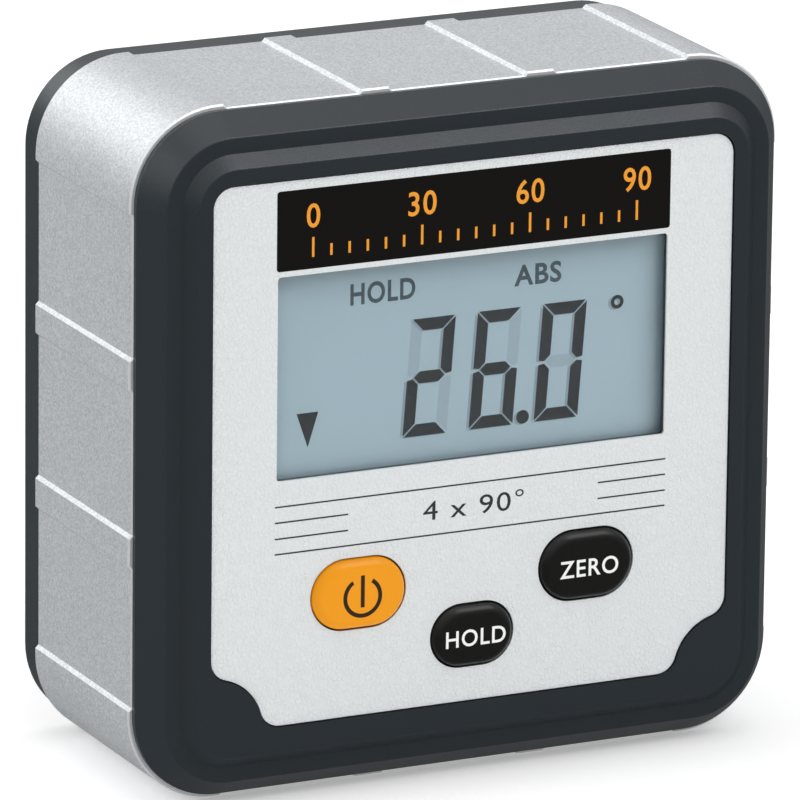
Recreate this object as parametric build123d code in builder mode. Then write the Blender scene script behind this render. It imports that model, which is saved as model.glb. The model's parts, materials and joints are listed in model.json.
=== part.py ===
from build123d import *
import os
from math import atan, degrees

# Digital spirit level: a square gauge box that reads its own tilt
# Millimetres. X to the right seen from the front, Y into the depth, Z up.
# The origin is under the middle of the box, on the surface it stands on.

# Overall sizes
box_size = 60.0         # width and height of the metal frame over its raised bands
frame_depth = 19.5      # length of the extrusion
bezel_rise = 3.9        # bezel in front of the frame
cover_depth = 3.6       # back cover behind the frame
key_proud = 0.4         # key tops in front of the bezel's face

# Extruded frame
corner_radius = 8.0
frame_wall = 2.1        # under a raised band
panel_sink = 0.3        # depth of the sunk panels
band_centre = 7.65      # the two middle bands, from the middle of a side
band_width = 2.45
corner_band = 8.5       # raised corner, from the edge of the box
frame_edge = 0.15       # broken edge at both ends of the extrusion

# Bezel
bezel_margin = 0.4      # bezel and cover stand this far inside the raised bands
flank_height = 0.5      # straight foot of the bezel
ring_rise = 2.9         # from the frame up to the textured ring
ring_setback = 1.75     # ring's outer edge from the bezel's side
ring_width = 1.35
face_setback = 1.1      # flat face round the label, from the ring's inner edge
bezel_edge = 0.2        # softened edges of the steps
pocket_depth = 0.4      # the label lies in this pocket
face_wall = 1.3         # plastic behind the label
spigot_depth = 3.0      # bezel and cover reach into the frame
spigot_wall = 1.45
spigot_gap = 0.15

# Label
label_side_margin = 1.35
label_end_margin = 1.85
label_lift = 0.35       # label's middle above the box's middle
label_film = 0.2
label_corner = 1.8
notch_radius = 4.8
label_gap = 0.12

# Display
window_width = 36.15
window_height = 17.6
window_x = -0.1
window_z = 6.93         # from the box's middle
window_corner = 0.3
lens_film = 0.6
lens_lip = 0.4          # plastic in front of the lens
lens_overlap = 1.2      # lens beyond the window on each side
lens_gap = 0.05
lcd_overlap = 2.45
lcd_thickness = 2.6
lcd_gap = 0.1
holder_wall = 1.45
zebra_height = 1.0      # height of the rubber strips, display to board
zebra_width = 1.5
zebra_length = 36.0
zebra_inset = 1.2       # strip's middle from the display's edge

# Keys: name, middle x, middle z from the box's middle, width, height
keys = [
    ("power", -10.55, -12.47, 8.65, 6.1),
    ("hold", 0.1, -17.4, 7.6, 5.45),
    ("zero", 10.75, -12.47, 8.75, 6.1),
]
key_travel = 0.4
key_gap = 0.12          # round a key, in the label and in the bezel
key_edge = 0.9          # rounding of a key's top
flange_lip = 0.8
flange_thickness = 0.8
flange_gap = 0.3        # flange behind the bezel's wall
switch_size = 6.0
switch_height = 1.6
plunger_radius = 1.5
plunger_gap = 0.1
plunger_depth = 0.6     # inside the switch, at rest
plunger_show = 0.5      # outside the switch, at rest

# Circuit board
board_gap = 0.7         # board inside the spigots
board_corner = 4.0
board_thickness = 1.2
low_post_inset = 5.1    # lower board screws from the board's side edges
low_post_drop = 13.0
high_post_inset = 2.2   # upper board screws from the board's top edge
high_post_half = 12.0
board_post_radius = 2.0
board_screw_radius = 0.75
board_head_radius = 1.6
board_head_height = 1.0
board_screw_reach = 2.6
chip_size = 10.0
chip_height = 1.2
chip_rise = 9.0         # chip's middle above the board's
sensor_width = 4.0
sensor_height = 3.0
sensor_thickness = 1.0
sensor_drop = 6.0
capacitor_width = 1.2
capacitor_length = 2.0
capacitor_space = 3.4   # from the side of the chip or the sensor
crystal_length = 8.0
crystal_width = 3.2

# Case screws
boss_inset = 7.0        # screw posts from the sides of the box, both ways
boss_radius = 3.0
boss_gap = 0.4          # board round a post
post_joint = 5.4        # posts of bezel and cover meet this far behind the frame's front
seat_thickness = 2.0    # plastic under a screw head
screw_radius = 1.0
screw_reach = 6.0
pilot_spare = 0.6
screw_gap = 0.05
head_radius = 2.1
head_height = 1.4
head_gap = 0.3

# Battery bay and door
cell_radius = 5.25
cell_length = 44.5
nub_radius = 1.9
nub_height = 0.8
cell_pitch = 11.2
spring_length = 5.5     # pressed between a contact and a cell
bay_wall = 1.2
bay_margin = 0.45       # bay above and below the cells
cell_gap = 0.3
door_side_lap = 1.1     # door beyond the bay
door_end_lap = 1.2
door_thickness = 1.6
door_gap = 0.15
hinge_pin_radius = 0.5
hinge_pin_length = 1.1
hinge_pin_gap = 0.05
scoop_radius = 4.0
scoop_depth = 1.0
contact_thickness = 0.4
contact_width = 7.2
contact_depth = 8.0
tab_width = 2.0
tab_gap = 0.2
spring_wire = 0.25
spring_radius = 2.6
spring_turns = 3
spring_gap = 0.05

# Base magnets
magnet_radius = 5.0
magnet_gap = 0.1
magnet_sink = 0.15      # magnet's face above the surface the box stands on
keeper_spare = 1.8      # strip beyond the magnets
keeper_depth = 11.0
keeper_thickness = 0.8

# Places that follow from the sizes
y_tip = -(key_proud + bezel_rise + frame_depth + cover_depth) / 2
y_face = y_tip + key_proud
y_front = y_face + bezel_rise
y_rear = y_front + frame_depth
y_back = y_rear + cover_depth
y_pocket = y_face + pocket_depth
y_label = y_pocket - label_film
y_wall = y_pocket + face_wall
y_lcd = y_wall + lcd_thickness
y_board = y_lcd + zebra_height
y_board_back = y_board + board_thickness
y_post = y_front + post_joint
y_cell = y_back - door_thickness - cell_gap - cell_radius
y_bay = y_cell - cell_radius - cell_gap
y_middle = (y_front + y_rear) / 2
bezel_size = box_size - 2 * bezel_margin
bezel_corner = corner_radius - bezel_margin
ring_outer = bezel_size - 2 * ring_setback
ring_inner = ring_outer - 2 * ring_width
face_width = ring_inner - 2 * face_setback
label_width = face_width - 2 * label_side_margin
label_height = face_width - 2 * label_end_margin
inner_size = box_size - 2 * frame_wall
inner_corner = corner_radius - frame_wall
spigot_size = inner_size - 2 * spigot_gap
spigot_corner = inner_corner - spigot_gap
inner_width = spigot_size - 2 * spigot_wall
board_size = inner_width - 2 * board_gap
low_post_x = board_size / 2 - low_post_inset
high_post_z = board_size / 2 - high_post_inset
board_posts = [
    (-low_post_x, -low_post_drop), (low_post_x, -low_post_drop),
    (-high_post_half, high_post_z), (high_post_half, high_post_z)]
bay_width = cell_length + spring_length + 2 * contact_thickness
bay_height = cell_pitch + 2 * (cell_radius + bay_margin)
door_width = bay_width + 2 * door_side_lap
door_height = bay_height + 2 * door_end_lap
boss_offset = box_size / 2 - boss_inset
panel_corner_edge = box_size / 2 - corner_band
hinge_radius = door_thickness / 2
hinge_x = -door_width / 2 + hinge_radius
y_hinge = y_back - hinge_radius
lcd_width = window_width + 2 * lcd_overlap
lcd_height = window_height + 2 * lcd_overlap
boss_places = [(x, z) for x in (-boss_offset, boss_offset) for z in (-boss_offset, boss_offset)]

os.makedirs("parts", exist_ok=True)


def facing(y):
    """Sketch plane across the box at depth y, seen from the front, its centre on the box's middle."""
    return Plane(origin=(0, y, box_size / 2), x_dir=(1, 0, 0), z_dir=(0, -1, 0))


def save(piece, name):
    """Label a finished piece and write it to its own file."""
    piece.part.label = name
    export_step(piece.part, f"parts/{name}.step")


# Frame: extruded box section with sunk panels between raised bands
side_panel = (band_centre + band_width / 2 + panel_corner_edge) / 2
side_half = (panel_corner_edge - band_centre - band_width / 2) / 2
middle_half = band_centre - band_width / 2
with BuildPart() as frame:
    with BuildSketch(facing(y_rear)):
        RectangleRounded(box_size, box_size, corner_radius)
        with PolarLocations(box_size / 2, 4):
            for offset_along, half in ((-side_panel, side_half), (0, middle_half), (side_panel, side_half)):
                with Locations((0, offset_along)):
                    Polygon(
                        (panel_sink, half), (0, half), (-panel_sink, half - panel_sink),
                        (-panel_sink, panel_sink - half), (0, -half), (panel_sink, -half),
                        align=None, mode=Mode.SUBTRACT)
        RectangleRounded(inner_size, inner_size, inner_corner, mode=Mode.SUBTRACT)
    extrude(amount=frame_depth)
    for end in (frame.faces().sort_by(Axis.Y)[0], frame.faces().sort_by(Axis.Y)[-1]):
        chamfer(end.outer_wire().edges(), length=frame_edge)
    with BuildSketch(Plane.XY):
        with Locations((-side_panel, y_middle), (side_panel, y_middle)):
            Circle(magnet_radius + magnet_gap)
    extrude(amount=frame_wall * 2, mode=Mode.SUBTRACT)
save(frame, "frame")

# Label outline, used by the label and by the bezel's pocket
with BuildSketch() as label_outline:
    Rectangle(label_width, label_height)
    with Locations((-label_width / 2, -label_height / 2), (label_width / 2, -label_height / 2)):
        Circle(notch_radius, mode=Mode.SUBTRACT)
    fillet(label_outline.vertices(), label_corner)
with BuildSketch() as pocket_outline:
    add(label_outline.sketch)
    offset(amount=label_gap)
label_place = Plane(origin=(0, 0, box_size / 2 + label_lift), x_dir=(1, 0, 0), z_dir=(0, -1, 0))


# Front bezel: stepped moulded front with a spigot into the frame
def key_slots(extra):
    """Slots of the three keys, larger by extra all round, in the current sketch."""
    for _, x, z, width, height in keys:
        with Locations((x, z)):
            SlotOverall(width + 2 * extra, height + 2 * extra)


slope_angle = degrees(atan((bezel_size - ring_outer) / 2 / (ring_rise - flank_height)))
step_angle = degrees(atan((ring_inner - face_width) / 2 / (bezel_rise - ring_rise)))
ring_corner = bezel_corner - (bezel_size - ring_inner) / 2
with BuildPart() as front_bezel:
    with BuildSketch(facing(y_front)):
        RectangleRounded(bezel_size, bezel_size, bezel_corner)
    extrude(amount=flank_height)
    with BuildSketch(facing(y_front - flank_height)):
        RectangleRounded(bezel_size, bezel_size, bezel_corner)
    extrude(amount=ring_rise - flank_height, taper=slope_angle)
    with BuildSketch(facing(y_front - ring_rise)):
        RectangleRounded(ring_inner, ring_inner, ring_corner)
    extrude(amount=bezel_rise - ring_rise, taper=step_angle)
    face_edges = front_bezel.faces().sort_by(Axis.Y)[0].outer_wire().edges()
    ring_edges = front_bezel.faces().filter_by(Axis.Y).sort_by(Axis.Y)[1].outer_wire().edges()
    fillet(face_edges + ring_edges, bezel_edge)
    with BuildSketch(facing(y_front + spigot_depth)):
        RectangleRounded(spigot_size, spigot_size, spigot_corner)
    extrude(amount=spigot_depth)
    with BuildSketch(facing(y_front + spigot_depth)):
        RectangleRounded(inner_width, inner_width, spigot_corner - spigot_wall)
    extrude(amount=y_front + spigot_depth - y_wall, mode=Mode.SUBTRACT)
    with BuildSketch(facing(y_post)):
        with Locations(*boss_places):
            Circle(boss_radius)
    extrude(amount=y_post - y_wall)
    with BuildSketch(facing(y_board)):
        with Locations(*board_posts):
            Circle(board_post_radius)
    extrude(amount=y_board - y_wall)
    with BuildSketch(facing(y_post)):
        with Locations(*boss_places):
            Circle(screw_radius + screw_gap)
    extrude(amount=screw_reach + pilot_spare, mode=Mode.SUBTRACT)
    with BuildSketch(facing(y_board)):
        with Locations(*board_posts):
            Circle(board_screw_radius + screw_gap)
    extrude(amount=board_screw_reach, mode=Mode.SUBTRACT)
    with BuildSketch(Plane(origin=(0, y_face, box_size / 2 + label_lift), x_dir=(1, 0, 0), z_dir=(0, -1, 0))):
        add(pocket_outline.sketch)
    extrude(amount=-pocket_depth, mode=Mode.SUBTRACT)
    with BuildSketch(facing(y_wall)):
        with Locations((window_x, window_z)):
            RectangleRounded(window_width, window_height, window_corner)
        key_slots(key_gap)
    extrude(amount=face_wall, mode=Mode.SUBTRACT)
    with BuildSketch(facing(y_wall)):
        with Locations((window_x, window_z)):
            Rectangle(window_width + 2 * (lens_overlap + lens_gap), window_height + 2 * (lens_overlap + lens_gap))
    extrude(amount=face_wall - lens_lip, mode=Mode.SUBTRACT)
save(front_bezel, "front_bezel")

# Face label: printed film with the window and the key holes punched out
with BuildPart() as face_label:
    with BuildSketch(Plane(origin=(0, y_pocket, box_size / 2 + label_lift), x_dir=(1, 0, 0), z_dir=(0, -1, 0))):
        add(label_outline.sketch)
    extrude(amount=label_film)
    with BuildSketch(facing(y_pocket)):
        with Locations((window_x, window_z)):
            RectangleRounded(window_width, window_height, window_corner)
        key_slots(key_gap)
    extrude(amount=label_film, mode=Mode.SUBTRACT)
save(face_label, "face_label")

# Display: lens, glass cell, holder and rubber connector strips
with BuildPart() as display_lens:
    with BuildSketch(facing(y_pocket + lens_lip + lens_film)):
        with Locations((window_x, window_z)):
            Rectangle(window_width + 2 * lens_overlap, window_height + 2 * lens_overlap)
    extrude(amount=lens_film)
save(display_lens, "display_lens")

with BuildPart() as lcd_panel:
    with BuildSketch(facing(y_lcd)):
        with Locations((window_x, window_z)):
            Rectangle(lcd_width, lcd_height)
    extrude(amount=lcd_thickness)
save(lcd_panel, "lcd_panel")

zebra_offset = lcd_height / 2 - zebra_inset
with BuildPart() as lcd_holder:
    with BuildSketch(facing(y_board)):
        with Locations((window_x, window_z)):
            Rectangle(lcd_width + 2 * (lcd_gap + holder_wall), lcd_height + 2 * (lcd_gap + holder_wall))
    extrude(amount=y_board - y_wall)
    with BuildSketch(facing(y_lcd)):
        with Locations((window_x, window_z)):
            Rectangle(lcd_width + 2 * lcd_gap, lcd_height + 2 * lcd_gap)
    extrude(amount=lcd_thickness, mode=Mode.SUBTRACT)
    with BuildSketch(facing(y_board)):
        with Locations((window_x, window_z)):
            Rectangle(zebra_length, lcd_height - 4 * zebra_inset - zebra_width)
        with Locations((window_x, window_z - zebra_offset), (window_x, window_z + zebra_offset)):
            Rectangle(zebra_length + 2 * lcd_gap, zebra_width + 2 * lcd_gap)
    extrude(amount=zebra_height, mode=Mode.SUBTRACT)
save(lcd_holder, "lcd_holder")

with BuildPart() as zebra_strips:
    with BuildSketch(facing(y_board)):
        with Locations((window_x, window_z - zebra_offset), (window_x, window_z + zebra_offset)):
            Rectangle(zebra_length, zebra_width)
    extrude(amount=zebra_height)
save(zebra_strips, "zebra_strips")

# Circuit board and what is soldered to it
with BuildPart() as main_board:
    with BuildSketch(facing(y_board_back)):
        RectangleRounded(board_size, board_size, board_corner)
        with Locations(*boss_places):
            Circle(boss_radius + boss_gap, mode=Mode.SUBTRACT)
        with Locations(*board_posts):
            Circle(board_screw_radius + screw_gap, mode=Mode.SUBTRACT)
    extrude(amount=board_thickness)
save(main_board, "main_board")

with BuildPart() as controller_chip:
    with BuildSketch(facing(y_board_back + chip_height)):
        with Locations((0, chip_rise)):
            Rectangle(chip_size, chip_size)
    extrude(amount=chip_height)
    chamfer(controller_chip.faces().sort_by(Axis.Y)[-1].edges(), length=chip_height / 5)
save(controller_chip, "controller_chip")

with BuildPart() as tilt_sensor:
    with BuildSketch(facing(y_board_back + sensor_thickness)):
        with Locations((0, -sensor_drop)):
            Rectangle(sensor_width, sensor_height)
    extrude(amount=sensor_thickness)
save(tilt_sensor, "tilt_sensor")

chip_side = chip_size / 2 + capacitor_space
sensor_side = sensor_width / 2 + capacitor_space
with BuildPart() as board_components:
    with BuildSketch(facing(y_board_back + sensor_thickness)):
        with Locations(
            (-sensor_side, -sensor_drop), (sensor_side, -sensor_drop),
            (-chip_side, chip_rise), (chip_side, chip_rise),
            (-chip_side, chip_rise - chip_size / 2), (chip_side, chip_rise - chip_size / 2)):
            Rectangle(capacitor_width, capacitor_length)
    extrude(amount=sensor_thickness)
    with BuildSketch(facing(y_board_back + 2 * sensor_thickness)):
        with Locations((-chip_size, chip_rise + chip_size / 2 + crystal_width)):
            SlotOverall(crystal_length, crystal_width)
    extrude(amount=2 * sensor_thickness)
save(board_components, "board_components")

with BuildPart() as board_screws:
    with BuildSketch(facing(y_board_back + board_head_height)):
        with Locations(*board_posts):
            Circle(board_head_radius)
    extrude(amount=board_head_height)
    with BuildSketch(facing(y_board_back)):
        with Locations(*board_posts):
            Circle(board_screw_radius)
    extrude(amount=board_thickness + board_screw_reach - screw_gap)
save(board_screws, "board_screws")

# Switches under the keys
with BuildPart() as key_switches:
    with BuildSketch(facing(y_board)):
        for _, key_x, key_z, _, _ in keys:
            with Locations((key_x, key_z)):
                Rectangle(switch_size, switch_size)
    extrude(amount=switch_height)
    with BuildSketch(facing(y_board - switch_height + plunger_depth + key_travel + plunger_gap * 2)):
        for _, key_x, key_z, _, _ in keys:
            with Locations((key_x, key_z)):
                Circle(plunger_radius + plunger_gap)
    extrude(amount=switch_height, mode=Mode.SUBTRACT)
save(key_switches, "key_switches")

# Keys and the switch plungers that travel with them
y_flange = y_wall + flange_gap + flange_thickness
y_plunger = y_board - switch_height - plunger_show
for key_name, key_x, key_z, key_width, key_height in keys:
    with BuildPart() as key:
        with BuildSketch(facing(y_flange)):
            with Locations((key_x, key_z)):
                SlotOverall(key_width + 2 * flange_lip, key_height + 2 * flange_lip)
        extrude(amount=flange_thickness)
        with BuildSketch(facing(y_flange - flange_thickness)):
            with Locations((key_x, key_z)):
                SlotOverall(key_width, key_height)
        extrude(amount=y_flange - flange_thickness - y_tip)
        fillet(key.faces().sort_by(Axis.Y)[0].outer_wire().edges(), key_edge)
        with BuildSketch(facing(y_plunger)):
            with Locations((key_x, key_z)):
                Circle(plunger_radius)
        extrude(amount=y_plunger - y_flange)
    save(key, f"{key_name}_key")
    with BuildPart() as plunger:
        with BuildSketch(facing(y_plunger + plunger_show + plunger_depth)):
            with Locations((key_x, key_z)):
                Circle(plunger_radius)
        extrude(amount=plunger_show + plunger_depth)
    save(plunger, f"{key_name}_plunger")

# Back cover: plate, spigot, battery bay and screw posts
rebate_half_height = door_height / 2 + door_gap
with BuildPart() as back_cover:
    with BuildSketch(facing(y_back)):
        RectangleRounded(bezel_size, bezel_size, bezel_corner)
    extrude(amount=cover_depth)
    fillet(back_cover.faces().sort_by(Axis.Y)[-1].outer_wire().edges(), 0.8)
    with BuildSketch(facing(y_rear)):
        RectangleRounded(spigot_size, spigot_size, spigot_corner)
        RectangleRounded(inner_width, inner_width, spigot_corner - spigot_wall, mode=Mode.SUBTRACT)
    extrude(amount=spigot_depth)
    with BuildSketch(facing(y_rear)):
        Rectangle(bay_width + 2 * bay_wall, bay_height + 2 * bay_wall)
    extrude(amount=y_rear - y_bay + bay_wall)
    with BuildSketch(facing(y_rear)):
        with Locations(*boss_places):
            Circle(boss_radius)
    extrude(amount=y_rear - y_post)
    with BuildSketch(facing(y_back)):
        with Locations(*boss_places):
            Circle(head_radius + head_gap)
    extrude(amount=y_back - y_post - seat_thickness, mode=Mode.SUBTRACT)
    with BuildSketch(facing(y_post + seat_thickness)):
        with Locations(*boss_places):
            Circle(screw_radius + screw_gap)
    extrude(amount=seat_thickness, mode=Mode.SUBTRACT)
    with BuildSketch(facing(y_back)):
        with Locations((hinge_radius / 2, 0)):
            Rectangle(door_width - hinge_radius + 2 * door_gap, 2 * rebate_half_height)
    extrude(amount=door_thickness + door_gap / 3, mode=Mode.SUBTRACT)
    with BuildSketch(Plane(origin=(0, 0, box_size / 2 - rebate_half_height))):
        with Locations((hinge_x, y_hinge)):
            Circle(hinge_radius + door_gap)
            Rectangle(2 * (hinge_radius + door_gap), hinge_radius, align=(Align.CENTER, Align.MIN))
    extrude(amount=2 * rebate_half_height, mode=Mode.SUBTRACT)
    with BuildSketch(Plane(origin=(0, 0, box_size / 2 - door_height / 2 - hinge_pin_length - door_gap))):
        with Locations((hinge_x, y_hinge)):
            Circle(hinge_pin_radius + hinge_pin_gap)
    extrude(amount=door_height + 2 * (hinge_pin_length + door_gap), mode=Mode.SUBTRACT)
    with BuildSketch(facing(y_back)):
        Rectangle(bay_width, bay_height)
    extrude(amount=y_back - y_bay, mode=Mode.SUBTRACT)
    with BuildSketch(facing(y_back)):
        with Locations((door_width / 2, 0)):
            Circle(scoop_radius)
    extrude(amount=scoop_depth, mode=Mode.SUBTRACT)
    with BuildSketch(facing(y_bay)):
        with Locations(*[(bay_width / 2 - contact_thickness / 2, z) for z in (-cell_pitch / 2, cell_pitch / 2)]):
            Rectangle(contact_thickness + 2 * tab_gap, tab_width + 2 * tab_gap)
    extrude(amount=bay_wall, mode=Mode.SUBTRACT)
save(back_cover, "back_cover")

with BuildPart() as case_screws:
    with BuildSketch(facing(y_post + seat_thickness + head_height)):
        with Locations(*boss_places):
            Circle(head_radius)
    extrude(amount=head_height)
    with BuildSketch(facing(y_post + seat_thickness)):
        with Locations(*boss_places):
            Circle(screw_radius)
    extrude(amount=seat_thickness + screw_reach)
save(case_screws, "case_screws")

# Battery door: plate with a round hinge edge and two pins
with BuildPart() as battery_door:
    with BuildSketch(facing(y_back)):
        with Locations((hinge_radius / 2, 0)):
            Rectangle(door_width - hinge_radius, door_height)
    extrude(amount=door_thickness)
    with BuildSketch(Plane(origin=(0, 0, box_size / 2 - door_height / 2))):
        with Locations((hinge_x, y_hinge)):
            Circle(hinge_radius)
    extrude(amount=door_height)
    with BuildSketch(Plane(origin=(0, 0, box_size / 2 - door_height / 2 - hinge_pin_length))):
        with Locations((hinge_x, y_hinge)):
            Circle(hinge_pin_radius)
    extrude(amount=door_height + 2 * hinge_pin_length)
save(battery_door, "battery_door")

# Cells: one faces each way, the nub against a flat contact
contact_x = bay_width / 2 - contact_thickness
for cell_name, side in (("upper_cell", 1), ("lower_cell", -1)):
    cell_place = Plane(
        origin=(side * contact_x, y_cell, box_size / 2 + side * cell_pitch / 2),
        x_dir=(0, 1, 0), z_dir=(-side, 0, 0))
    with BuildPart() as cell:
        with BuildSketch(cell_place):
            Circle(nub_radius)
        extrude(amount=nub_height)
        with BuildSketch(cell_place.offset(nub_height)):
            Circle(cell_radius)
        extrude(amount=cell_length - nub_height)
        fillet(cell.edges().filter_by(GeomType.CIRCLE).filter_by(lambda e: e.radius > nub_radius), 0.4)
    save(cell, cell_name)

# Battery contacts
with BuildPart() as bridge_contact:
    with BuildSketch(facing(y_cell + contact_depth / 2)):
        with Locations((-bay_width / 2 + contact_thickness / 2, 0)):
            Rectangle(contact_thickness, cell_pitch + contact_width)
    extrude(amount=contact_depth)
save(bridge_contact, "bridge_contact")

with BuildPart() as terminal_contacts:
    for level in (-cell_pitch / 2, cell_pitch / 2):
        with BuildSketch(facing(y_cell + contact_depth / 2)):
            with Locations((bay_width / 2 - contact_thickness / 2, level)):
                Rectangle(contact_thickness, contact_width)
        extrude(amount=contact_depth)
        with BuildSketch(facing(y_cell - contact_depth / 2)):
            with Locations((bay_width / 2 - contact_thickness / 2, level)):
                Rectangle(contact_thickness, tab_width)
        extrude(amount=y_cell - contact_depth / 2 - y_board_back)
save(terminal_contacts, "terminal_contacts")

spring_rise = spring_length - 2 * (spring_wire + spring_gap)
with BuildPart() as contact_springs:
    for side in (1, -1):
        with BuildLine() as coil:
            Helix(
                pitch=spring_rise / spring_turns, height=spring_rise, radius=spring_radius,
                center=(side * (spring_wire + spring_gap - contact_x), y_cell, box_size / 2 + side * cell_pitch / 2),
                direction=(side, 0, 0))
        with BuildSketch(Plane(origin=coil.line @ 0, z_dir=coil.line % 0)):
            Circle(spring_wire)
        sweep(path=coil.line, is_frenet=True)
save(contact_springs, "contact_springs")

# Base magnets and the steel strip that joins them
with BuildPart() as base_magnets:
    with BuildSketch(Plane.XY.offset(magnet_sink)):
        with Locations((-side_panel, y_middle), (side_panel, y_middle)):
            Circle(magnet_radius)
    extrude(amount=frame_wall - magnet_sink)
save(base_magnets, "base_magnets")

with BuildPart() as magnet_keeper:
    with BuildSketch(Plane.XY.offset(frame_wall)):
        with Locations((0, y_middle)):
            Rectangle(2 * (side_panel + magnet_radius + keeper_spare), keeper_depth)
    extrude(amount=keeper_thickness)
save(magnet_keeper, "magnet_keeper")
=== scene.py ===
# %% [markdown]
# # A digital spirit level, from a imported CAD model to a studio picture
#
# This square box reads its own tilt. Its solid pieces were drawn in CAD. The script gives them their
# surfaces, adds what is printed on them, and sets the floor, the light and the camera.
#
# Everything is placed in the CAD model's own frame: metres, X to the right, Y into the depth and Z up.
# Working in that frame means that no piece has to be moved or scaled to fit.

import json
import math

import bpy
from mathutils import Matrix, Vector


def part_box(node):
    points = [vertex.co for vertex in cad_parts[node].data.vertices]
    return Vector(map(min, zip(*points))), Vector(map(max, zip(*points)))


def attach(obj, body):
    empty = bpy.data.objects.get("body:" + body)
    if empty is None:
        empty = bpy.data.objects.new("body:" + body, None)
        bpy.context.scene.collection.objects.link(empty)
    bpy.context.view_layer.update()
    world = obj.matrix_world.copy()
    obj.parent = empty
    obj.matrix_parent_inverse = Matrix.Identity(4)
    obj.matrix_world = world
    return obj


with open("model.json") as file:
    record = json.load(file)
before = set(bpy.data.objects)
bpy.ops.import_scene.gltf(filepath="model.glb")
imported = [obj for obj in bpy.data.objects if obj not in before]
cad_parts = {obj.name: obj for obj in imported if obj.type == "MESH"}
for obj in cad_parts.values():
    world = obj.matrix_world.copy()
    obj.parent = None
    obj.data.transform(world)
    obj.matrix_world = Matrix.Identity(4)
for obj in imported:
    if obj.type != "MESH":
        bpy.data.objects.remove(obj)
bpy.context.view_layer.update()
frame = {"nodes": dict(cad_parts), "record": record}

# %% [markdown]
# ## Where things are
#
# Print lies on the label, on the display and on the keys. Its depth could be typed in, but it would then
# float or sink as soon as the CAD changed. So each depth is read from the box round its CAD piece. Only the
# places across the front are typed, in millimetres from the middle and from the ground.

# %% Measure the surfaces that carry print
MM = 0.001
label_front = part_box("face_label")[0].y / MM
panel_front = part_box("lcd_panel")[0].y / MM
key_front = {name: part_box(f"{name}_key")[0].y / MM for name in ("power", "hold", "zero")}
print("label at", round(label_front, 3), "display at", round(panel_front, 3))
print("keys at", {name: round(depth, 3) for name, depth in key_front.items()})

# %% [markdown]
# ## Colours
#
# A colour picked on a screen is stored on a curve that suits the eye. The renderer adds up light, and needs
# the colour straight. One function turns the usual hex code into linear values, so that every colour below
# can be written as a designer would write it.


# %% From a hex colour to linear light
def linear(code):
    """Screen colour such as "f39c00" as linear red, green, blue and full alpha."""
    parts = [int(code[i : i + 2], 16) / 255 for i in (0, 2, 4)]
    return tuple(c / 12.92 if c <= 0.04045 else ((c + 0.055) / 1.055) ** 2.4 for c in parts) + (1.0,)


print("orange in linear light:", [round(c, 3) for c in linear("f39c00")])

# %% [markdown]
# A material is a small graph of nodes. Written out, each node, each value and each link takes a line. This
# helper does all three in one call, so that a material reads as a short list of its parts.


# %% Add a node with its settings and links
def add_node(material, kind, settings=None, **inputs):
    """Add a shader node. Settings are the node's own properties, the rest are its input values or links."""
    node = material.node_tree.nodes.new(kind)
    for key, value in (settings or {}).items():
        setattr(node, key, value)
    for key, value in inputs.items():
        socket = node.inputs[key.replace("_", " ")]
        if isinstance(value, bpy.types.NodeSocket):
            material.node_tree.links.new(value, socket)
        else:
            socket.default_value = value
    return node


# %% [markdown]
# ## One recipe for most surfaces
#
# Real surfaces are never even. An image of wear could be laid over them, but it would stretch round the
# corners, so noise that lives in the object's own space is used. Slow noise changes the roughness over about
# four millimetres and breaks up the highlights. Where a surface is moulded or blasted, fine noise of about
# the real grain's size adds a bump.
#
# Gloss is how much a surface that isn't metal reflects head on. A half suits most plastics, and less suits
# ink and film.

# %% A surface with uneven roughness and a grain
PATCH_MM = 4
PATCH_DETAIL = 3.0
GRAIN_DETAIL = 2.0


def surface(name, code, roughness, metallic=0.0, grain=0.0, grain_mm=0.3, unevenness=0.05, gloss=0.5):
    """Principled material with a bump of depth grain (mm) and a roughness that varies by unevenness."""
    material = bpy.data.materials.new(name)
    material.use_nodes = True
    shader = material.node_tree.nodes["Principled BSDF"]
    shader.inputs["Base Color"].default_value = linear(code)
    shader.inputs["Metallic"].default_value = metallic
    shader.inputs["Specular IOR Level"].default_value = gloss
    place = add_node(material, "ShaderNodeTexCoord").outputs["Object"]
    patch = 1 / (PATCH_MM * MM)
    slow = add_node(material, "ShaderNodeTexNoise", Vector=place, Scale=patch, Detail=PATCH_DETAIL)
    spread = add_node(material, "ShaderNodeMapRange", Value=slow.outputs["Fac"])
    spread.inputs["To Min"].default_value = roughness - unevenness
    spread.inputs["To Max"].default_value = roughness + unevenness
    material.node_tree.links.new(spread.outputs["Result"], shader.inputs["Roughness"])
    if grain:
        pitch = 1 / (grain_mm * MM)
        fine = add_node(material, "ShaderNodeTexNoise", Vector=place, Scale=pitch, Detail=GRAIN_DETAIL)
        bump = add_node(material, "ShaderNodeBump", Height=fine.outputs["Fac"], Distance=grain * MM)
        material.node_tree.links.new(bump.outputs["Normal"], shader.inputs["Normal"])
    return material


# %% [markdown]
# ### Moulded plastics and rubber
#
# The bezel, the back cover and the door are ABS, moulded in a tool whose walls were eroded by sparks. The
# keys come from a smoother tool. A mould's grain could be carved into the mesh, but it is a tenth of a
# millimetre wide, so a bump does as well wherever the whole box is in view.

# %% Moulded plastics and rubber
# Spark-eroded grain gives an even satin, with soft highlights along the edges.
moulded_charcoal_abs = surface("moulded_charcoal_abs", "232b30", 0.3, grain=0.02, grain_mm=0.12)
# A smoother tool gives a clear orange and a deep black, each with a small bright highlight.
moulded_orange_abs = surface("moulded_orange_abs", "f39c00", 0.3, grain=0.003, grain_mm=0.2, gloss=0.35)
moulded_black_abs = surface("moulded_black_abs", "141312", 0.28, grain=0.003, grain_mm=0.2, gloss=0.35)
# Moulded nylon is duller, and a little greyer than the keys.
moulded_nylon = surface("moulded_nylon", "222326", 0.5)
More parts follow.
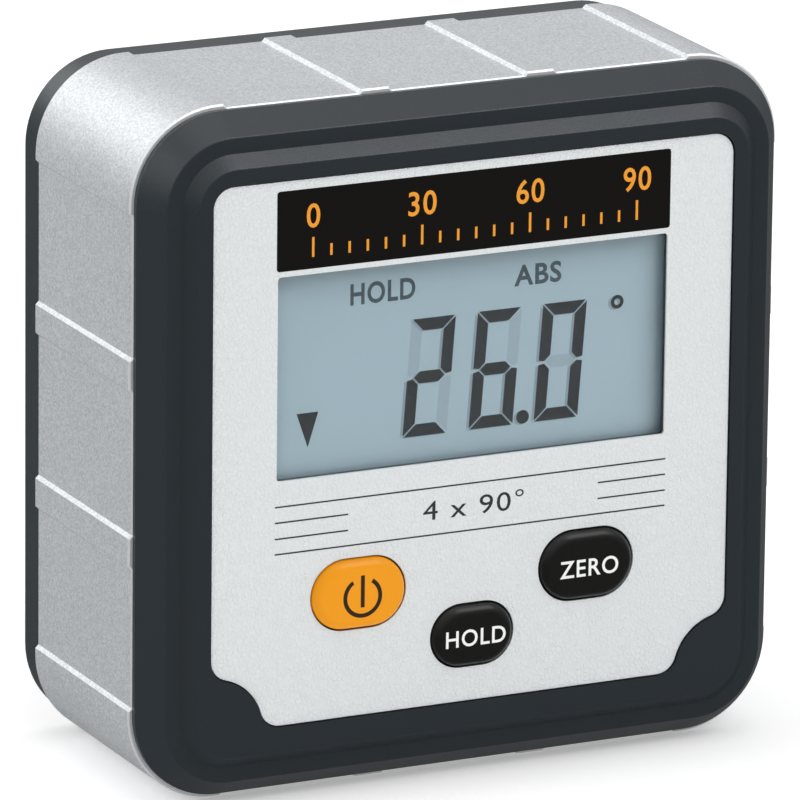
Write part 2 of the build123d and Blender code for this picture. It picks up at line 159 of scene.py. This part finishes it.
# Silicone rubber, made in thin layers, has almost no shine.
layered_silicone = surface("layered_silicone", "2a2a2a", 0.75)
print("moulded:", moulded_charcoal_abs.name, moulded_orange_abs.name, moulded_black_abs.name)

# %% [markdown]
# ### The circuit and the cells
#
# The cells show when the door is open, and the circuit stays hidden behind them. Tracks and markings could
# be drawn here, but nobody would see them, so each real finish gets one plain surface.

# %% Circuit and cell surfaces
# Fibreglass under green lacquer: a smooth, rather glossy green.
lacquered_fibreglass = surface("lacquered_fibreglass", "1d5a34", 0.35)
# Chips are moulded in epoxy: a dull, even black.
moulded_epoxy = surface("moulded_epoxy", "1c1c1e", 0.5)
# Copper dipped in tin: a warm, slightly cloudy metal.
tinned_copper = surface("tinned_copper", "b9b2a2", 0.35, metallic=0.9)
# A printed film, shrunk tight round each cell: dark, with a long soft highlight.
shrunk_film = surface("shrunk_film", "2d3138", 0.3)
print("inside:", lacquered_fibreglass.name, moulded_epoxy.name, tinned_copper.name, shrunk_film.name)

# %% [markdown]
# ### Plated steel
#
# Plating is a thin, even coat of another metal. It could be built as a coat over steel, but light never gets
# through it, so the plating's own colour and roughness are all that a fully metallic surface needs.

# %% Plated steel
# Zinc on the screws: a soft grey mirror.
zinc_plated_steel = surface("zinc_plated_steel", "b6b7ba", 0.32, metallic=1.0)
# Nickel on the contacts and springs: warmer and brighter than zinc.
nickel_plated_steel = surface("nickel_plated_steel", "cfcac0", 0.28, metallic=1.0)
# Nickel on a ground magnet: the smoothest of the three.
nickel_plated_magnet = surface("nickel_plated_magnet", "d2d2d4", 0.18, metallic=1.0)
print("plated:", zinc_plated_steel.name, nickel_plated_steel.name, nickel_plated_magnet.name)

# %% [markdown]
# ### Printed inks
#
# Ink is pressed through a screen on to the label, and from a soft pad on to the keys. It could be painted
# into the surface below, but an ink of its own can have its own dullness, which is how print is told from
# plastic at a glance.

# %% Printed inks
# The black of the bar is the dullest, so that it stays black under the lamps. The same black is the painted
# shade in the screws' driver recesses.
black_ink_and_recess_shade = surface("black_ink_and_recess_shade", "0f0d0b", 0.5, gloss=0.2)
# Thin rules look dark grey rather than black.
printed_grey_ink = surface("printed_grey_ink", "2c3032", 0.5)
# White on the black keys has to cover well, and so looks clean and flat.
printed_white_ink = surface("printed_white_ink", "f2f3f2", 0.45)
# Orange on black and brown on orange both look warm and matt.
printed_orange_ink = surface("printed_orange_ink", "f09a10", 0.45)
printed_brown_ink = surface("printed_brown_ink", "33200c", 0.45)
print("inks on the label:", black_ink_and_recess_shade.name, printed_grey_ink.name, printed_orange_ink.name)
print("inks on the keys:", printed_white_ink.name, printed_brown_ink.name)

# %% [markdown]
# ### The liquid crystal display
#
# Glass with a polariser on each side lies over a reflector. A segment that is on blocks the light. One that
# is off still leaves a faint ghost, and the gap to the reflector gives each dark segment a pale shade beside
# it. Polarised light could be traced, but the eye only sees four flat tones, so four surfaces give them.

# %% Display surfaces
# The polarised panel over its reflector: a calm blue grey with little shine under the lens.
polarised_glass = surface("polarised_glass", "c3dfec", 0.3, unevenness=0.02, gloss=0.2)
# A segment that is on: almost black, with a hint of green.
liquid_crystal_on = surface("liquid_crystal_on", "0a1c22", 0.4, gloss=0.1)
# Fine letters block less of the light, so they look lighter than the digits.
liquid_crystal_word = surface("liquid_crystal_word", "3a5560", 0.4, gloss=0.2)
# The shade that a segment throws, and the ghost of one that is off: just darker than the panel.
liquid_crystal_shade = surface("liquid_crystal_shade", "9fb8c4", 0.4, gloss=0.2)
liquid_crystal_off = surface("liquid_crystal_off", "b5cedb", 0.4, gloss=0.2)
print("display:", polarised_glass.name, liquid_crystal_on.name, liquid_crystal_off.name)

# %% [markdown]
# ### Blasted and anodised aluminium
#
# The frame is an extrusion that was blasted with beads and anodised, so tiny facets sparkle on its sides.
# They could be scattered as a bump alone, but each facet also has its own brightness, so a cell pattern
# picks a grey for each. The metal isn't fully metallic, because the oxide on it scatters light as well. A
# facet is drawn coarser than real, or it would be too fine to show.

# %% Sparkle on the aluminium
FACET_MM = 0.14
FACET_TONES = (("c6cacd", 0.2), ("e3e6e9", 0.8))
anodised = surface("blasted_anodised_aluminium", "c9ccd0", 0.42, metallic=0.6, grain=0.006, grain_mm=0.15)
place = add_node(anodised, "ShaderNodeTexCoord").outputs["Object"]
facets = add_node(anodised, "ShaderNodeTexVoronoi", Vector=place, Scale=1 / (FACET_MM * MM))
tone = add_node(anodised, "ShaderNodeValToRGB", Fac=facets.outputs["Color"])
for element, (code, position) in zip(tone.color_ramp.elements, FACET_TONES):
    element.color = linear(code)
    element.position = position
print("facets of", FACET_MM, "mm")

# %% [markdown]
# The two ends of the extrusion are sawn and faced, so they are brighter than the sides, and their near white
# tone is also a painted highlight, the one that the light draws along the front rim. They could get a second
# material, but the CAD frame is one piece. The direction of the surface tells the two apart just as well,
# because only an end faces along Y.

# %% Bright ends on the aluminium, with a painted highlight
# The end tone is partly the faced metal and partly a painted highlight along the front rim.
END_TONE_AND_HIGHLIGHT = "f4f5f6"
END_FROM = 0.5
facing = add_node(anodised, "ShaderNodeNewGeometry").outputs["Normal"]
along = add_node(anodised, "ShaderNodeSeparateXYZ", Vector=facing).outputs["Y"]
either_way = add_node(anodised, "ShaderNodeMath", {"operation": "ABSOLUTE"}, Value=along).outputs["Value"]
end_highlight_mask = add_node(anodised, "ShaderNodeMath", {"operation": "GREATER_THAN"}, Value=either_way)
end_highlight_mask.inputs[1].default_value = END_FROM
pick = add_node(anodised, "ShaderNodeMix", {"data_type": "RGBA"}, Factor=end_highlight_mask.outputs["Value"])
# A Mix node keeps its two colours in inputs 6 and 7, and the mixed colour in output 2.
side_colour, end_colour_and_highlight, picked_colour = pick.inputs[6], pick.inputs[7], pick.outputs[2]
end_colour_and_highlight.default_value = linear(END_TONE_AND_HIGHLIGHT)
anodised.node_tree.links.new(tone.outputs["Color"], side_colour)
base_colour = anodised.node_tree.nodes["Principled BSDF"].inputs["Base Color"]
anodised.node_tree.links.new(picked_colour, base_colour)
print("ends drawn in", END_TONE_AND_HIGHLIGHT)

# %% [markdown]
# ### Embossed polycarbonate
#
# The label is a polycarbonate film, embossed with a leather grain: cells a little under half a millimetre
# across, with soft creases between them. Plain noise gives lumps without creases. A cell pattern that gives
# the distance to its own edge makes the creases, and cutting it off early keeps the cells flat on top.

# %% Embossed polycarbonate
CELL_MM = 0.42
CREASE_SHARE = 0.25
CREASE_MM = 0.05
CREASE_STRENGTH = 0.9
embossed_film = surface("embossed_polycarbonate", "dfe3e4", 0.42)
place = add_node(embossed_film, "ShaderNodeTexCoord").outputs["Object"]
to_edge = {"feature": "DISTANCE_TO_EDGE"}
creases = add_node(embossed_film, "ShaderNodeTexVoronoi", to_edge, Vector=place, Scale=1 / (CELL_MM * MM))
soft = add_node(embossed_film, "ShaderNodeMapRange", Value=creases.outputs["Distance"])
soft.inputs["From Max"].default_value = CREASE_SHARE
bump = add_node(embossed_film, "ShaderNodeBump", Distance=CREASE_MM * MM, Strength=CREASE_STRENGTH)
normal_input = embossed_film.node_tree.nodes["Principled BSDF"].inputs["Normal"]
embossed_film.node_tree.links.new(soft.outputs["Result"], bump.inputs["Height"])
embossed_film.node_tree.links.new(bump.outputs["Normal"], normal_input)
print("grain cells of", CELL_MM, "mm")

# %% [markdown]
# ### Coated acrylic
#
# The lens is clear acrylic with a coating that halves its reflection, so the display behind it looks near.
# A sheet that bends light also stops the renderer from finding the lamps through it, and the display would
# go dark. Rays that only ask about shadow therefore pass straight through.

# %% Coated acrylic
ACRYLIC_IOR = 1.49
COATED_GLOSS = 0.25
coated_acrylic = bpy.data.materials.new("coated_acrylic")
coated_acrylic.use_nodes = True
shader = coated_acrylic.node_tree.nodes["Principled BSDF"]
shader.inputs["Roughness"].default_value = 0.0
shader.inputs["IOR"].default_value = ACRYLIC_IOR
shader.inputs["Specular IOR Level"].default_value = COATED_GLOSS
shader.inputs["Transmission Weight"].default_value = 1.0
asks_shadow = add_node(coated_acrylic, "ShaderNodeLightPath").outputs["Is Shadow Ray"]
passing = add_node(coated_acrylic, "ShaderNodeBsdfTransparent")
either = add_node(coated_acrylic, "ShaderNodeMixShader", Fac=asks_shadow)
output = coated_acrylic.node_tree.nodes["Material Output"]
coated_acrylic.node_tree.links.new(shader.outputs["BSDF"], either.inputs[1])
coated_acrylic.node_tree.links.new(passing.outputs["BSDF"], either.inputs[2])
coated_acrylic.node_tree.links.new(either.outputs["Shader"], output.inputs["Surface"])
print("lens:", coated_acrylic.name, "IOR", ACRYLIC_IOR)

# %% [markdown]
# ### Dress the CAD nodes
#
# The record that comes with the CAD says which material slot each node has. Each node could be dressed by
# name, but going by slot needs one line for each finish, and a new node would be dressed by itself.

# %% Put the surfaces on the CAD nodes
finish_of_slot = {
    "frame_metal": anodised,
    "dark_plastic": moulded_charcoal_abs,
    "label_film": embossed_film,
    "clear_lens": coated_acrylic,
    "display_glass": polarised_glass,
    "strip_rubber": layered_silicone,
    "board_green": lacquered_fibreglass,
    "chip_black": moulded_epoxy,
    "component_body": tinned_copper,
    "screw_steel": zinc_plated_steel,
    "switch_body": moulded_nylon,
    "orange_key": moulded_orange_abs,
    "black_key": moulded_black_abs,
    "cell_wrap": shrunk_film,
    "contact_plate": nickel_plated_steel,
    "magnet_plate": nickel_plated_magnet,
}
for part in frame["record"]["subparts"]:
    for slot in frame["nodes"][part["node"]].material_slots:
        slot.material = finish_of_slot[part["material_slot"]]

# %% [markdown]
# ## Print
#
# Ink has a thickness, even if it is tiny. An image could carry the print, but a mesh stays sharp however
# close the camera comes. So each printed mark is a prism a hundredth of a millimetre thick that stands on
# its surface. Each mark also rides on a body, so that it moves with what it is printed on.

# %% Prisms from flat outlines
INK = 0.01


def show(name, mesh, material, body):
    """Put a mesh in the scene with its material, on its body."""
    piece = bpy.data.objects.new(name, mesh)
    bpy.context.scene.collection.objects.link(piece)
    mesh.materials.clear()
    mesh.materials.append(material)
    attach(piece, body)
    return piece


def prism(name, outlines, front, material, body, thickness=INK):
    """Prisms on the plane y = front, towards the viewer. Outlines are lists of (x, z) in millimetres."""
    points, faces = [], []
    for outline in outlines:
        start, count = len(points), len(outline)
        points += [(x * MM, (front - thickness) * MM, z * MM) for x, z in outline]
        points += [(x * MM, front * MM, z * MM) for x, z in outline]
        faces.append(tuple(range(start, start + count)))
        faces.append(tuple(range(start + 2 * count - 1, start + count - 1, -1)))
        for i in range(count):
            j = (i + 1) % count
            faces.append((start + i, start + count + i, start + count + j, start + j))
    mesh = bpy.data.meshes.new(name)
    mesh.from_pydata(points, [], faces)
    mesh.validate()
    mesh.update()
    return show(name, mesh, material, body)


# %% [markdown]
# ### The bar and its scale
#
# A black bar carries the scale of a quarter circle, laid out straight: a short tick each five degrees and a
# long one each thirty. Bar and ticks are rectangles. One could be cut out of the other, but ink is printed
# over ink, so the ticks stand on the bar, one thickness further out.

# %% Print the bar and its ticks
LEFT, RIGHT = -18.3, 18.15
BAR_LOW, BAR_HIGH, BAR_CORNER = 46.2, 53.08, 0.25
SCALE_HALF = 15.0
TICK_FOOT, SHORT_TICK, LONG_TICK, TICK_HALF = 47.2, 1.0, 1.7, 0.11


def box_outline(x0, x1, z0, z1, corner=0.0):
    """Rectangle with round corners, as points in order."""
    if not corner:
        return [(x0, z0), (x1, z0), (x1, z1), (x0, z1)]
    middles = [(x1 - corner, z0 + corner, -90), (x1 - corner, z1 - corner, 0)]
    middles += [(x0 + corner, z1 - corner, 90), (x0 + corner, z0 + corner, 180)]
    return [
        (x + corner * math.cos(math.radians(a + t)), z + corner * math.sin(math.radians(a + t)))
        for x, z, a in middles
        for t in (0, 30, 60, 90)
    ]


def scale_x(degree):
    """Place of a degree along the bar."""
    return -SCALE_HALF + 2 * SCALE_HALF * degree / 90


bar = box_outline(LEFT, RIGHT, BAR_LOW, BAR_HIGH, BAR_CORNER)
prism("bar_print", [bar], label_front, black_ink_and_recess_shade, "housing")
on_bar = label_front - INK
ticks = []
for degree in range(0, 91, 5):
    x = scale_x(degree)
    length = LONG_TICK if degree % 30 == 0 else SHORT_TICK
    ticks.append(box_outline(x - TICK_HALF, x + TICK_HALF, TICK_FOOT, TICK_FOOT + length))
prism("scale_ticks", ticks, on_bar, printed_orange_ink, "housing")
print("ticks:", len(ticks))

# %% [markdown]
# ### Words and numbers
#
# Print on such a box is plain lettering. Blender draws letters as a text curve, with a type size that says
# little about how large they come out. So the curve is turned into a mesh and stretched into the place that
# the word has, which gives its width and height exactly.

# %% Words that fill a measured place
LETTER_GAP = 1.1
LETTER_DEPTH = 0.01
CURVE_STEPS = 4


def words(name, text, x_range, z_range, front, material, body, bold=0.012, turned=False):
    """A word between two x and two z values, in millimetres. Turned words are read from behind."""
    letters = bpy.data.curves.new(name, "FONT")
    letters.body = text
    letters.offset = bold
    letters.space_character = LETTER_GAP
    letters.extrude = LETTER_DEPTH
    letters.resolution_u = CURVE_STEPS
    holder = bpy.data.objects.new(name, letters)
    bpy.context.scene.collection.objects.link(holder)
    bpy.context.view_layer.update()
    mesh = bpy.data.meshes.new_from_object(holder)
    bpy.data.objects.remove(holder)
    low = [min(v.co[i] for v in mesh.vertices) for i in range(3)]
    high = [max(v.co[i] for v in mesh.vertices) for i in range(3)]
    side = -1 if turned else 1
    for v in mesh.vertices:
        across, up, deep = ((v.co[i] - low[i]) / (high[i] - low[i]) for i in range(3))
        across = 1 - across if turned else across
        x = x_range[0] + across * (x_range[1] - x_range[0])
        z = z_range[0] + up * (z_range[1] - z_range[0])
        v.co = (x * MM, (front - side * deep * INK) * MM, z * MM)
    return show(name, mesh, material, body)


# %% [markdown]
# The scale has a plain number over each long tick. The four could be one text with spaces, but each then
# hangs on the width of the others. Placed one by one, each stands over its own tick.

# %% Number the scale
NUMBER_Z = (49.7, 51.8)
ONE_FIGURE_HALF, TWO_FIGURES_HALF = 0.62, 1.3
for degree in (0, 30, 60, 90):
    x = scale_x(degree)
    half = TWO_FIGURES_HALF if degree else ONE_FIGURE_HALF
    place = ((x - half, x + half), NUMBER_Z)
    number = words(f"scale_{degree}", str(degree), *place, on_bar, printed_orange_ink, "housing")
    print(number.name, "at", round(x, 2), "mm")

# %% [markdown]
# ### Rules and a note
#
# Under the window two pairs of thin rules run across, and the inner pair is broken for a note of the range:
# four quadrants of ninety degrees each. Lines could be curves with a width, but flat rectangles end as
# sharply as printed ones.

# %% Print the rules and the note
RULE_HALF = 0.065
OUTER_RULES = (25.91, 21.80)
INNER_RULES = (24.54, 23.14)
BREAK_LEFT, BREAK_RIGHT = -11.55, 11.78
NOTE_PLACE = ((-4.6, 4.8), (23.1, 24.85))
rules = [box_outline(LEFT, RIGHT, z - RULE_HALF, z + RULE_HALF) for z in OUTER_RULES]
for z in INNER_RULES:
    rules.append(box_outline(LEFT, BREAK_LEFT, z - RULE_HALF, z + RULE_HALF))
    rules.append(box_outline(BREAK_RIGHT, RIGHT, z - RULE_HALF, z + RULE_HALF))
prism("label_rules", rules, label_front, printed_grey_ink, "housing")
words("range_note", "4 x 90°", *NOTE_PLACE, label_front, printed_grey_ink, "housing", bold=0.0)
print("rules:", len(rules))

# %% [markdown]
# ### The digits of the display
#
# A digit has seven segments, each a short bar with its ends cut at an angle. All seven could be typed, but a
# digit is the same when it is flipped either way, so three outlines are drawn and mirrored into the rest.

# %% Outlines of the seven segments
WIDE, TALL, THICK, SPLIT = 4.1, 10.2, 1.05, 0.1
HALF = TALL / 2
top = [
    (SPLIT, TALL),
    (THICK + SPLIT, TALL - THICK),
    (WIDE - THICK - SPLIT, TALL - THICK),
    (WIDE - SPLIT, TALL),
]
middle = [
    (THICK / 2 + SPLIT, HALF),
    (THICK + SPLIT, HALF - THICK / 2),
    (WIDE - THICK - SPLIT, HALF - THICK / 2),
    (WIDE - THICK / 2 - SPLIT, HALF),
    (WIDE - THICK - SPLIT, HALF + THICK / 2),
    (THICK + SPLIT, HALF + THICK / 2),
]
upper_left = [
    (0, TALL - SPLIT),
    (0, HALF + 2 * SPLIT),
    (THICK / 2, HALF + SPLIT),
    (THICK, HALF + THICK / 2 + SPLIT),
    (THICK, TALL - THICK - SPLIT),
]


def mirrored(outline, left_right=False, up_down=False):
    """The same segment on the digit's other side."""
    return [(WIDE - x if left_right else x, TALL - z if up_down else z) for x, z in outline]


segments = {
    "a": top,
    "b": mirrored(upper_left, left_right=True),
    "c": mirrored(upper_left, left_right=True, up_down=True),
    "d": mirrored(top, up_down=True),
    "e": mirrored(upper_left, up_down=True),
    "f": upper_left,
    "g": middle,
}
print("segments:", len(segments))

# %% [markdown]
# The decimal point is a disc and the degree sign is a ring. Blender's circle meshes could be used, but as
# lists of points they go through the same prism as the segments. A prism can't have a hole, so a ring is
# drawn as two halves.


# %% Outlines of a disc and of part of a ring
def disc_outline(x, z, radius, steps=24):
    """Circle as points in order."""
    turns = [2 * math.pi * i / steps for i in range(steps)]
    return [(x + radius * math.cos(t), z + radius * math.sin(t)) for t in turns]


def arc_outline(x, z, outer, inner, start, end, steps=36):
    """Part of a ring between two angles, in degrees from +X towards +Z."""
    turns = [math.radians(start + (end - start) * i / steps) for i in range(steps + 1)]
    outside = [(x + outer * math.cos(t), z + outer * math.sin(t)) for t in turns]
    inside = [(x + inner * math.cos(t), z + inner * math.sin(t)) for t in reversed(turns)]
    return outside + inside


# %% [markdown]
# ### The reading
#
# The display shows 26.0 degrees, in digits that lean a little. Segments that are off show as a ghost, and
# those that are on throw a shade on the reflector, a quarter of a millimetre to the left. The shade could be
# left to the lamps, but print has no gap behind it, so it is drawn. Ghosts, shades and dark marks lie on
# each other in that order.

# %% Draw the reading
LEAN = math.tan(math.radians(4.2))
DIGIT_FOOT = 30.2
# Left edge of each digit, and the segments that are on.
DIGITS = ((-6.0, "abged"), (0.15, "acdefg"), (6.25, "abcdef"))
# Middle and radius of the point. Middle, outer and inner radius of the degree sign.
POINT = (5.2, 30.75, 0.6)
DEGREE_SIGN = (13.95, 39.85, 0.6, 0.28)
SHADE_LEFT, SHADE_DOWN, SHADE_INK = 0.25, 0.08, 0.004
lit, off = [], []
for start_x, on in DIGITS:
    for key, outline in segments.items():
        placed = [(start_x + x + LEAN * z, DIGIT_FOOT + z) for x, z in outline]
        (lit if key in on else off).append(placed)
lit.append(disc_outline(*POINT))
lit.append(arc_outline(*DEGREE_SIGN, 0, 180))
lit.append(arc_outline(*DEGREE_SIGN, 180, 360))
shade = [[(x - SHADE_LEFT, z - SHADE_DOWN) for x, z in outline] for outline in lit]
prism("display_ghosts", off, panel_front, liquid_crystal_off, "housing", SHADE_INK)
prism("display_shades", shade, panel_front - SHADE_INK, liquid_crystal_shade, "housing", SHADE_INK)
prism("display_digits", lit, panel_front - 2 * SHADE_INK, liquid_crystal_on, "housing")
print("marks on:", len(lit), "segments off:", len(off))

# %% [markdown]
# Over the digits are two words, and at the left a small arrow says which way to turn the box. They are etched
# in the glass like the digits, and could share their piece. Apart, the words can be lighter, because thin
# strokes block less of the light.

# %% Add the arrow and the words
WORD_BOLD = 0.025
ARROW = [(-15.8, 33.4), (-14.75, 30.4), (-13.8, 33.4)]
HOLD_PLACE = ((-10.95, -4.95), (42.2, 44.1))
ABS_PLACE = ((4.25, 8.65), (42.2, 44.05))
prism("display_arrow", [ARROW], panel_front, liquid_crystal_on, "housing")
words("display_hold", "HOLD", *HOLD_PLACE, panel_front, liquid_crystal_word, "housing", WORD_BOLD)
words("display_abs", "ABS", *ABS_PLACE, panel_front, liquid_crystal_word, "housing", WORD_BOLD)
print("words on the display from", HOLD_PLACE[0][0], "to", ABS_PLACE[0][1], "mm")

# %% [markdown]
# ### The keys
#
# A key's sign is printed on its top and goes down with it when it is pressed. The signs could be typed in
# place like the label's print. Measured from the middle of their own key, they follow it if the CAD moves
# it. The power sign is the common one: a ring that is open at the top, and a stroke through the opening.

# %% Print the keys
RING_SHIFT = (0.14, -0.2)
RING_OUTER, RING_INNER = 1.8, 1.44
RING_START, RING_END = 123, 417


def key_middle(name):
    """Middle of a key, (x, z) in millimetres."""
    low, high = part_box(f"{name}_key")
    return (low.x + high.x) / 2 / MM, (low.z + high.z) / 2 / MM


x, z = key_middle("power")
ring = arc_outline(x + RING_SHIFT[0], z + RING_SHIFT[1], RING_OUTER, RING_INNER, RING_START, RING_END)
stroke = box_outline(x - 0.04, x + 0.32, z - 1.1, z + 1.7)
prism("power_sign", [ring, stroke], key_front["power"], printed_brown_ink, "power_button")
print("power sign at", round(x, 2), round(z, 2))
x, z = key_middle("hold")
hold_place = ((x - 2.7, x + 2.9), (z - 0.85, z + 0.65))
words("hold_word", "HOLD", *hold_place, key_front["hold"], printed_white_ink, "hold_button")
print("hold word at", round(x, 2), round(z, 2))
x, z = key_middle("zero")
zero_place = ((x - 2.7, x + 2.8), (z - 0.95, z + 0.6))
words("zero_word", "ZERO", *zero_place, key_front["zero"], printed_white_ink, "zero_button")
print("zero word at", round(x, 2), round(z, 2))

# %% [markdown]
# ## The back
#
# The battery door has one plain word by the edge that opens. It could be moulded into the door. Printed, it
# rides on the door and swings with it, and the CAD stays as it is.

# %% Mark the door
DOOR_WORD_X = (12.0, 18.0)
DOOR_WORD_HALF = 0.8
door_low, door_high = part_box("battery_door")
door_middle = (door_low.z + door_high.z) / 2 / MM
door_place = (DOOR_WORD_X, (door_middle - DOOR_WORD_HALF, door_middle + DOOR_WORD_HALF))
words("door_word", "OPEN", *door_place, door_high.y / MM, printed_grey_ink, "door", turned=True)
print("door word at", round(door_middle, 2), "mm up")

# %% [markdown]
# Four screws sit at the bottom of deep wells in the back cover. A driver's cross could be cut into each head,
# but all that anyone sees down there is a cross dark with shade on grey metal. Two thin black bars on each
# head are that painted shade, and are placed from the corners of the box round all four.

# %% Paint the shade in the screws' recesses
HEAD_RADIUS, CROSS_REACH, CROSS_HALF = 2.1, 1.2, 0.22
screw_low, screw_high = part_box("case_screws")
recess_shades = []
for cx in (screw_low.x / MM + HEAD_RADIUS, screw_high.x / MM - HEAD_RADIUS):
    for cz in (screw_low.z / MM + HEAD_RADIUS, screw_high.z / MM - HEAD_RADIUS):
        recess_shades.append(box_outline(cx - CROSS_REACH, cx + CROSS_REACH, cz - CROSS_HALF, cz + CROSS_HALF))
        recess_shades.append(box_outline(cx - CROSS_HALF, cx + CROSS_HALF, cz - CROSS_REACH, cz + CROSS_REACH))
# Painted shade: the black bars stand where a driver's cross would be dark inside its recess.
prism("screw_recess_shades", recess_shades, screw_high.y / MM + INK, black_ink_and_recess_shade, "housing")
print("crossed screws:", len(recess_shades) // 2)

# %% [markdown]
# ## Floor, light and camera
#
# The box stands on a plain pale floor. A curved backdrop is the usual way to lose the horizon. Here the
# floor glows a little and so runs into the white behind it, which works from every side. The floor is kept
# out of reflections, or it would wash out the dark front.

# %% Floor
FLOOR_HALF = 2
FLOOR_GLOW = 0.27
near_edge = [(-FLOOR_HALF, -FLOOR_HALF, 0), (FLOOR_HALF, -FLOOR_HALF, 0)]
far_edge = [(FLOOR_HALF, FLOOR_HALF, 0), (-FLOOR_HALF, FLOOR_HALF, 0)]
floor_mesh = bpy.data.meshes.new("floor")
floor_mesh.from_pydata(near_edge + far_edge, [], [(0, 1, 2, 3)])
floor = bpy.data.objects.new("floor", floor_mesh)
bpy.context.scene.collection.objects.link(floor)
# Matt wall paint: pale, with no highlight of its own.
matt_floor_paint = surface("matt_floor_paint", "f8f8f8", 0.8)
shader = matt_floor_paint.node_tree.nodes["Principled BSDF"]
shader.inputs["Emission Color"].default_value = (1.0, 1.0, 1.0, 1.0)
shader.inputs["Emission Strength"].default_value = FLOOR_GLOW
floor_mesh.materials.append(matt_floor_paint)
floor.visible_glossy = False
print("floor:", 2 * FLOOR_HALF, "m wide")

# %% [markdown]
# The world is what lies round the box in every direction. One even white would do for the background, but it
# would turn dark plastic grey. So there are three: white for the camera, soft grey for matt surfaces, and a
# studio that is bright above and dim below for reflections, which draws the upper edges.

# %% Three lights in the world
WHITE = (1.0, 1.0, 1.0, 1.0)
SOFT_STRENGTH, WHITE_STRENGTH = 0.6, 1.0
STUDIO_FADE = (("From Min", -0.1), ("From Max", 0.7), ("To Min", 0.22), ("To Max", 1.0))
world = bpy.data.worlds.new("studio")
bpy.context.scene.world = world
world.use_nodes = True
world.node_tree.nodes.clear()
soft_light = add_node(world, "ShaderNodeBackground", Color=WHITE, Strength=SOFT_STRENGTH)
white_light = add_node(world, "ShaderNodeBackground", Color=WHITE, Strength=WHITE_STRENGTH)
direction = add_node(world, "ShaderNodeTexCoord").outputs["Generated"]
upward = add_node(world, "ShaderNodeSeparateXYZ", Vector=direction).outputs["Z"]
fade = add_node(world, "ShaderNodeMapRange", Value=upward)
for name, value in STUDIO_FADE:
    fade.inputs[name].default_value = value
studio_light = add_node(world, "ShaderNodeBackground", Strength=fade.outputs["Result"])
print("lights in the world:", SOFT_STRENGTH, WHITE_STRENGTH, "and a fade")

# %% [markdown]
# Light Path says what kind of ray is asking. Two mixes could be stacked for camera rays and for rays through
# the lens, but both want white, so the larger of the two answers serves for both. The rest is shared between
# reflections and matt surfaces.

# %% Choose a light for each kind of ray
path = add_node(world, "ShaderNodeLightPath").outputs
seen = add_node(world, "ShaderNodeMath", {"operation": "MAXIMUM"})
lit_by = add_node(world, "ShaderNodeMixShader", Fac=path["Is Glossy Ray"])
choose = add_node(world, "ShaderNodeMixShader", Fac=seen.outputs["Value"])
world_links = (
    (path["Is Camera Ray"], seen.inputs[0]),
    (path["Is Transmission Ray"], seen.inputs[1]),
    (soft_light.outputs["Background"], lit_by.inputs[1]),
    (studio_light.outputs["Background"], lit_by.inputs[2]),
    (lit_by.outputs["Shader"], choose.inputs[1]),
    (white_light.outputs["Background"], choose.inputs[2]),
)
for source, target in world_links:
    world.node_tree.links.new(source, target)
add_node(world, "ShaderNodeOutputWorld", Surface=choose.outputs["Shader"])
print("links in the world:", len(world.node_tree.links))

# %% [markdown]
# Square lamps give soft shadows, as a photographer's soft boxes do. Each could be placed by its coordinates,
# but a direction and a distance say more about what it does. The key lamp, in front on the right, lights the
# window and lets its edge throw a shadow. The fill lamp lights the frame's side, the top lamp draws the top,
# and the corner lamp, behind on the left, gives the corner its highlight.

# %% Lamps
AIM = Vector((0, 0, 0.03))


def lamp(name, azimuth, elevation, distance, side, watts):
    """Square lamp aimed at the middle of the box. Azimuth 0 is straight in front, positive to the right."""
    data = bpy.data.lights.new(name, "AREA")
    data.size = side
    data.energy = watts
    piece = bpy.data.objects.new(name, data)
    bpy.context.scene.collection.objects.link(piece)
    a, e = math.radians(azimuth), math.radians(elevation)
    away = Vector((math.sin(a) * math.cos(e), -math.cos(a) * math.cos(e), math.sin(e)))
    piece.location = AIM + away * distance
    piece.rotation_mode = "QUATERNION"
    piece.rotation_quaternion = (-away).to_track_quat("-Z", "Y")


lamp("key_lamp", azimuth=38, elevation=45, distance=0.6, side=0.35, watts=0.9)
lamp("fill_lamp", azimuth=-110, elevation=30, distance=0.7, side=0.5, watts=2.1)
lamp("top_lamp", azimuth=0, elevation=85, distance=0.6, side=0.5, watts=0.5)
lamp("corner_lamp", azimuth=-162, elevation=27, distance=0.6, side=0.3, watts=0.3)
print("lamps:", len(bpy.data.lights))

# %% [markdown]
# The camera stands where the photographer's stood. A view could be matched by eye, but the box's straight
# edges meet at known sizes, and that gives the direction, the distance and the lens together. The camera was
# level to within a degree, and its small roll is kept.

# %% Which way the camera faces
azimuth, elevation, roll = (math.radians(a) for a in (-25.72, 16.07, -0.653))
level = math.cos(elevation)
back = Vector((math.sin(azimuth) * level, -math.cos(azimuth) * level, math.sin(elevation)))
right = (-back).cross(Vector((0, 0, 1))).normalized()
down = (-back).cross(right)
right_rolled = math.cos(roll) * right + math.sin(roll) * down
down_rolled = -math.sin(roll) * right + math.cos(roll) * down
print("camera looks along", [round(c, 3) for c in -back])

# %% [markdown]
# A long lens far away keeps the box's edges nearly parallel, as in the photograph. The three directions
# could be turned into angles, but as the columns of a matrix they set the camera without any rounding.

# %% Camera
CAMERA_PLACE = Vector((-348.57, -722.47, 260.76)) * MM
LENS_MM, SENSOR_MM, FAR_M = 441.8, 36.0, 20.0
camera_data = bpy.data.cameras.new("camera")
camera_data.lens = LENS_MM
camera_data.sensor_width = SENSOR_MM
camera_data.clip_end = FAR_M
camera = bpy.data.objects.new("camera", camera_data)
bpy.context.scene.collection.objects.link(camera)
turn = Matrix((right_rolled, -down_rolled, back)).transposed()
camera.matrix_world = Matrix.Translation(CAMERA_PLACE) @ turn.to_4x4()
bpy.context.scene.camera = camera
bpy.context.scene.view_settings.view_transform = "Standard"
print("camera is", round(CAMERA_PLACE.length, 3), "m from the middle of the base")
